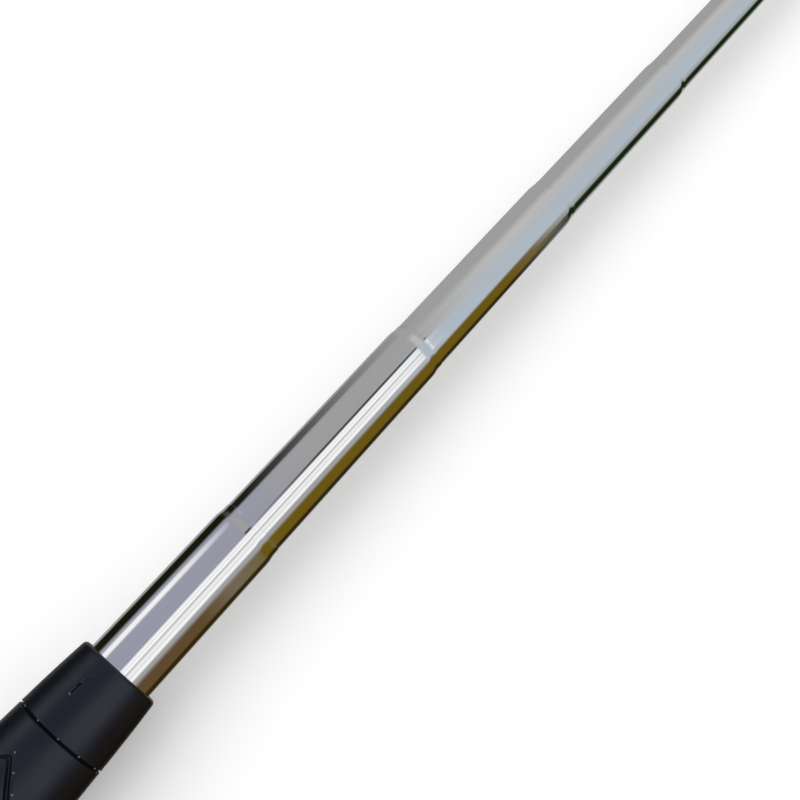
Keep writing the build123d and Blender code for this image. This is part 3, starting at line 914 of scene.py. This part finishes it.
    def sleeve(self) -> bpy.types.Object:
        """The sleeve's closed mesh.

        Returns:
            The new piece.
        """
        points: list[tuple[float, float, float]] = []
        turns = [TURN * column / self.columns for column in range(self.columns)]
        lags = [self.lag(turn) for turn in turns]
        rows = self.rows()
        collar_start = self.ring + self.groove_half + self.groove_margin
        for place, slant, offset, ring_depth in rows:
            for turn, behind in zip(turns, lags):
                x = place - slant * behind
                radius = self.plain(x) - ring_depth - self.tread_depth_at(offset, turn)
                if x >= collar_start:
                    radius -= self.tick_depth_at(x, turn)
                points.append(round_x(x, radius, turn))
        edge = self.mouth_round
        centre = (self.mouth - edge, self.plain(self.mouth - edge) - edge)
        inside = [*arc(centre, edge, 90.0, 0.0, 8), *self.inner_line()]
        for x, radius in inside:
            points += [round_x(x, radius, turn) for turn in turns]
        faces = loop_faces(len(rows) + len(inside), self.columns)
        return mesh_piece("grip_rubber_sleeve", points, faces, 50.0)

    def inner_line(self) -> list[tuple[float, float]]:
        """The sleeve's bore, from the mouth back to the cap's socket.

        Returns:
            Points of (x, radius).
        """
        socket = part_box("butt_cap")[1].x + self.fit
        tape_end = self.mouth - self.tape_setback
        over_tube = self.tube + self.fit
        over_tape = over_tube + self.tape + self.fit
        counterbore = self.socket_radius + self.fit
        return [
            (self.mouth, over_tube),
            (tape_end, over_tube),
            (tape_end, over_tape),
            (socket, over_tape),
            (socket, counterbore),
            (self.start, counterbore),
        ]

    def pip(self, x: float, turn: float, sink: float, points: list, faces: list) -> None:
        """Adds a small moulded dome on the grip.

        Args:
            x: Where it is along the shaft.
            turn: Its bearing from +Z.
            sink: How far its foot is below the plain surface.
            points: The vertices so far, added to.
            faces: The faces so far, added to.
        """
        around, tiers = 12, 4
        base = len(points)
        foot = self.plain(x) - sink
        for tier in range(tiers):
            rise = math.pi / 2.0 * tier / tiers
            reach = self.pip_radius * math.cos(rise)
            height = foot + self.pip_height * math.sin(rise)
            for step in range(around):
                angle = TURN * step / around
                side = turn + reach * math.sin(angle) / height
                points.append(round_x(x + reach * math.cos(angle), height, side))
        points.append(round_x(x, foot + self.pip_height, turn))
        points.append(round_x(x, foot - self.pip_root, turn))
        for tier in range(tiers - 1):
            low, high = base + tier * around, base + (tier + 1) * around
            for step in range(around):
                after = (step + 1) % around
                faces.append((low + step, low + after, high + after, high + step))
        top, under, last = base + tiers * around, base + tiers * around + 1, base + (tiers - 1) * around
        for step in range(around):
            after = (step + 1) % around
            faces.append((last + step, last + after, top))
            faces.append((base + after, base + step, under))

    def pips(self) -> bpy.types.Object:
        """All the moulding pips, as one piece.

        Returns:
            The new piece.
        """
        points: list[tuple[float, float, float]] = []
        faces: list[tuple[int, ...]] = []
        for number in range(self.ring_pips):
            turn = self.ring_pip_turn + TURN * number / self.ring_pips
            self.pip(self.ring + self.ring_pip_ahead, turn, self.ring_pip_sink, points, faces)
        self.pip(self.mouth - self.tick_near, 0.0, self.pip_sink, points, faces)
        first = self.mouth - self.first_apex
        swing = self.arm_pip_pitch * math.sqrt(0.5) / self.mid_radius
        count = int(math.pi / 2.0 / swing)
        for row in range(self.tread_rows):
            for side in (0.0, math.pi):
                for number in range(count):
                    turn = side + swing * (number + 0.15)
                    x = first - self.tread_pitch * row - self.lag(turn) + self.arm_pip_offset
                    self.pip(x, turn, self.pip_sink, points, faces)
        return mesh_piece("grip_pips", points, faces, 60.0)

    def build(self) -> None:
        """Builds and dresses the rubber."""
        sleeve = self.sleeve()
        self.paints.dress_piece(sleeve, Slot.GRIP)
        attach(sleeve, "base")
        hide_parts("grip_sleeve")
        report(sleeve)
        pips = self.pips()
        # Painted highlight: the pips' lighter greys stand in for the glint of light on their tips.
        wear_and_glint = GripRubber(
            "pip rubber", (0.02, 0.021, 0.025), (0.17, 0.175, 0.19), low_gloss=0.34, high_gloss=0.2
        )
        pips.data.materials.append(wear_and_glint.paint())
        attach(pips, "base")
        report(pips)


# ---------------------------------------------------------------- gate spring


@dataclass
class GateSpring:
    """The torsion spring on the gate's pin."""

    paints: Paintbox
    coil_span: float = 5.1 * MM
    leg_room: float = 0.4 * MM

    def build(self) -> None:
        """Builds the wire as a copy of the CAD spring, in place, and hides the CAD node."""
        node = frame["nodes"]["gate_spring"]
        wire = bpy.data.objects.new("gate_spring_wire", node.data.copy())
        wire.data.materials.clear()
        bpy.context.scene.collection.objects.link(wire)
        self.paints.dress_piece(wire, Slot.SPRING)
        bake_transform(wire)
        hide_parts("gate_spring")
        report(wire)


# ---------------------------------------------------------------- CAD nodes kept as they are


@dataclass
class KeptNodes:
    """The CAD nodes whose shape stays, each with the finish of its slot."""

    paints: Paintbox

    def build(self) -> None:
        """Dresses every CAD node."""
        for row in frame["record"]["subparts"]:
            self.paints.dress_node(row["node"], Slot(row["material_slot"]))
            LOG.info("%s: %s", row["node"], row["material_slot"])


# ---------------------------------------------------------------- studio


class Tone(Enum):
    """Hues of the tent's cards, each as linear red, green and blue where the largest is 1."""

    GREY = (1.0, 1.0, 1.0)
    LILAC = (0.8, 0.8, 1.0)
    ICE = (0.8, 0.9, 1.0)
    BRONZE = (1.0, 0.6, 0.25)
    OCHRE = (1.0, 0.65, 0.05)
    OLIVE = (0.8, 1.0, 0.4)
    LEAF = (0.45, 1.0, 0.25)


def eased(share: float) -> float:
    """A share held between 0 and 1, and eased at both ends."""
    share = min(max(share, 0.0), 1.0)
    return share * share * (3.0 - 2.0 * share)


@dataclass(frozen=True)
class Card:
    """One soft-edged strip hung in the tent.

    Bearings are degrees from +Z towards -Y. Start and end are places along the shaft in metres.
    """

    tone: Tone
    glow: float
    middle: float
    half: float
    soft: float = 10.0
    start: float = -2.0
    end: float = 5.0
    fade: float = 0.05

    def cover(self, x: float, bearing: float) -> float:
        """How much the card hides of what hangs behind it.

        Args:
            x: The place along the shaft.
            bearing: Degrees from +Z towards -Y.

        Returns:
            From 0, not there, to 1, hidden.
        """
        aside = abs((bearing - self.middle + 180.0) % 360.0 - 180.0)
        lengthwise = eased((x - self.start) / self.fade) * eased((self.end - x) / self.fade)
        return lengthwise * eased((self.half + self.soft - aside) / self.soft)


@dataclass
class ReflectorTent:
    """A pale tent with a few soft cards round the shaft, which only polished surfaces see.

    Later cards hang in front of earlier ones.
    """

    radius: float = 0.25
    columns: int = 1440
    row_pitch: float = 0.02
    near: float = 0.2
    far: float = 0.8
    ends: tuple[float, float] = (-1.5, 4.0)
    cloth: float = 0.35
    grain: float = 0.03
    streak: float = 0.2
    streak_columns: int = 9
    streak_from: float = 15.0
    streak_to: float = 85.0
    streak_end: float = 0.5
    streak_fade: float = 0.05
    seed: int = 7
    cards: tuple[Card, ...] = (
        Card(Tone.LILAC, 0.4, middle=-20.0, half=40.0, soft=20.0, end=0.4),
        Card(Tone.GREY, 0.5, middle=0.0, half=10.0, soft=40.0, start=0.45, fade=0.1),
        Card(Tone.ICE, 0.55, middle=60.0, half=20.0, soft=40.0, start=0.4, fade=0.1),
        Card(Tone.OLIVE, 0.01, middle=-90.0, half=15.0, soft=15.0, end=0.5, fade=0.15),
        Card(Tone.GREY, 0.9, middle=-45.0, half=4.0, end=0.35),
        Card(Tone.GREY, 0.9, middle=35.0, half=4.0, end=0.5),
        Card(Tone.GREY, 0.9, middle=60.0, half=8.0, end=0.5),
        Card(Tone.LILAC, 0.05, middle=20.0, half=1.0, soft=5.0, start=0.35, end=0.5),
        Card(Tone.BRONZE, 0.12, middle=125.0, half=25.0, soft=20.0, end=0.35),
        Card(Tone.OCHRE, 0.15, middle=120.0, half=20.0, soft=15.0, start=0.3, end=0.6),
        Card(Tone.OCHRE, 0.03, middle=160.0, half=10.0, soft=15.0, end=0.6),
        Card(Tone.LEAF, 0.02, middle=140.0, half=15.0, soft=15.0, start=0.55),
    )

    def colour_at(self, x: float, bearing: float) -> Colour:
        """The tent's colour at a place.

        Args:
            x: The place along the shaft.
            bearing: Degrees from +Z towards -Y.

        Returns:
            The colour there, without grain.
        """
        colour = (self.cloth, self.cloth, self.cloth)
        for card in self.cards:
            share = card.cover(x, bearing)
            colour = tuple(a + (card.glow * b - a) * share for a, b in zip(colour, card.tone.value))
        return colour

    def paint(self) -> bpy.types.Material:
        """The tent's glow, from the colours stored on its mesh.

        Returns:
            The material.
        """
        material = bpy.data.materials.new("reflector tent")
        material.use_nodes = True
        tree = material.node_tree
        tree.nodes.clear()
        stored = tree.nodes.new("ShaderNodeAttribute")
        stored.attribute_name = "stripes"
        glow = tree.nodes.new("ShaderNodeEmission")
        out = tree.nodes.new("ShaderNodeOutputMaterial")
        tree.links.new(stored.outputs["Color"], glow.inputs["Color"])
        tree.links.new(glow.outputs["Emission"], out.inputs["Surface"])
        return material

    def places(self) -> list[float]:
        """Where the tent's rings are: close together beside the tubes, wide apart past them."""
        return [self.ends[0], *spread(self.near, self.far, self.row_pitch), self.far, self.ends[1]]

    def streaks(self, x: float, bearing: float) -> float:
        """How strong the thin random streaks are: most over the thick tubes' bright side.

        Args:
            x: The place along the shaft.
            bearing: Degrees from +Z towards -Y.

        Returns:
            The strength.
        """
        if not self.streak_from < bearing < self.streak_to:
            return self.grain
        share = min(max((self.streak_end - x) / self.streak_fade, 0.0), 1.0)
        return self.grain + (self.streak - self.grain) * share

    def build(self) -> None:
        """Builds the tent round the shaft."""
        random = Random(self.seed)
        grains = [random.uniform(-1.0, 1.0) for _ in range(self.columns // self.streak_columns)]
        points, colours = [], []
        rows = self.places()
        for x in rows:
            for column in range(self.columns):
                bearing = 360.0 * column / self.columns - 180.0
                points.append(round_x(x, self.radius, math.radians(bearing)))
                shade = 1.0 + grains[column // self.streak_columns] * self.streaks(x, bearing)
                colours += [channel * shade for channel in self.colour_at(x, bearing)] + [1.0]
        faces = loop_faces(len(rows), self.columns, closed=False)
        faces.append(tuple(range(self.columns)))
        faces.append(tuple(range((len(rows) - 1) * self.columns, len(rows) * self.columns)))
        tent = mesh_piece("reflector_tent", points, faces)
        stored = tent.data.color_attributes.new("stripes", "FLOAT_COLOR", "POINT")
        stored.data.foreach_set("color", colours)
        tent.data.materials.append(self.paint())
        tent.visible_camera = False
        tent.visible_diffuse = False
        tent.visible_shadow = False
        tent.visible_transmission = False
        tent.visible_volume_scatter = False
        report(tent)


@dataclass
class Studio:
    """Pale floor, soft light, the reflector tent, and the camera."""

    lens: float = 43.87
    side_turn: float = math.radians(24.0)
    slant: float = math.radians(65.35)
    picture_turn: float = math.radians(47.81)
    aim_past_neck: float = 46.6 * MM
    aim_in_camera: tuple[float, float, float] = (-17.45 * MM, -13.27 * MM, -239.54 * MM)
    shift: tuple[float, float] = (-0.0699, -0.0876)
    floor_half: float = 60.0
    sky: float = 0.88
    key: float = 0.5
    key_from: tuple[float, float, float] = (-0.2, 0.5, 1.0)
    floor_glow: float = 0.14
    floor_grain: float = 3.0
    floor_light: Colour = (0.93, 0.93, 0.93)
    floor_dark: Colour = (0.91, 0.91, 0.91)
    key_spread: float = math.radians(60.0)
    sensor: float = 36.0
    clip: tuple[float, float] = (0.01, 200.0)

    def floor(self) -> None:
        """The pale floor that the butt and the scoop's foot rest on."""
        level = CAD_BOX[0].z
        half = self.floor_half
        corners = [(-half, -half, level), (half, -half, level), (half, half, level), (-half, half, level)]
        floor = mesh_piece("floor", corners, [(0, 1, 2, 3)])
        shader = Shader("pale floor")
        shader.colour(shader.blend(shader.noise(self.floor_grain, 3.0), self.floor_dark, self.floor_light))
        shader.fixed(Roughness=0.9, Specular_IOR_Level=0.0, Emission_Strength=self.floor_glow)
        shader.surface.inputs["Emission Color"].default_value = (1.0, 1.0, 1.0, 1.0)
        floor.data.materials.append(shader.material)
        floor.visible_glossy = False
        report(floor)

    def lights(self) -> None:
        """An even pale sky and one soft light from above."""
        world = bpy.data.worlds.new("sky")
        world.use_nodes = True
        background = world.node_tree.nodes["Background"]
        background.inputs["Color"].default_value = (1.0, 1.0, 1.0, 1.0)
        background.inputs["Strength"].default_value = self.sky
        bpy.context.scene.world = world
        self.sun()

    def sun(self) -> None:
        """One broad soft light from above the shaft's far side."""
        data = bpy.data.lights.new("soft_sun", "SUN")
        data.angle = self.key_spread
        data.energy = self.key
        light = bpy.data.objects.new("soft_sun", data)
        light.rotation_euler = Vector(self.key_from).to_track_quat("Z", "Y").to_euler()
        light.visible_glossy = False
        bpy.context.scene.collection.objects.link(light)

    def camera(self) -> None:
        """Puts the camera low over the grip, looking along the shaft to the scoop."""
        along = Vector((1.0, 0.0, 0.0))
        turn = self.side_turn
        to_camera = Vector((0.0, -math.sin(turn), math.cos(turn)))
        across = Vector((0.0, -math.cos(turn), -math.sin(turn)))
        back = to_camera * math.sin(self.slant) - along * math.cos(self.slant)
        shaft_in_picture = (along + back * math.cos(self.slant)) / math.sin(self.slant)
        swing = self.picture_turn
        right = shaft_in_picture * math.cos(swing) + across * math.sin(swing)
        up = shaft_in_picture * math.sin(swing) - across * math.cos(swing)
        aim = Vector((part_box("base_tube")[1].x + self.aim_past_neck, 0.0, 0.0))
        turned_to = Matrix((right, up, back)).transposed()
        data = bpy.data.cameras.new("camera")
        data.lens = self.lens
        data.sensor_width = self.sensor
        data.shift_x, data.shift_y = self.shift
        data.clip_start, data.clip_end = self.clip
        camera = bpy.data.objects.new("camera", data)
        place = aim - turned_to @ Vector(self.aim_in_camera)
        camera.matrix_world = Matrix.Translation(place) @ turned_to.to_4x4()
        bpy.context.scene.collection.objects.link(camera)
        bpy.context.scene.camera = camera

    def build(self) -> None:
        """Sets the whole stage."""
        view = bpy.context.scene.view_settings
        view.view_transform = "Standard"
        view.look = "None"
        self.floor()
        self.lights()
        ReflectorTent().build()
        self.camera()


def main() -> None:
    """Builds the sub-assemblies, then the studio."""
    logging.basicConfig(level=logging.INFO, format="%(name)s: %(message)s")
    paints = Paintbox()
    for part in (KeptNodes(paints), Shaft(paints), Grip(paints), GateSpring(paints), Studio()):
        part.build()


if __name__ == "__main__":
    main()
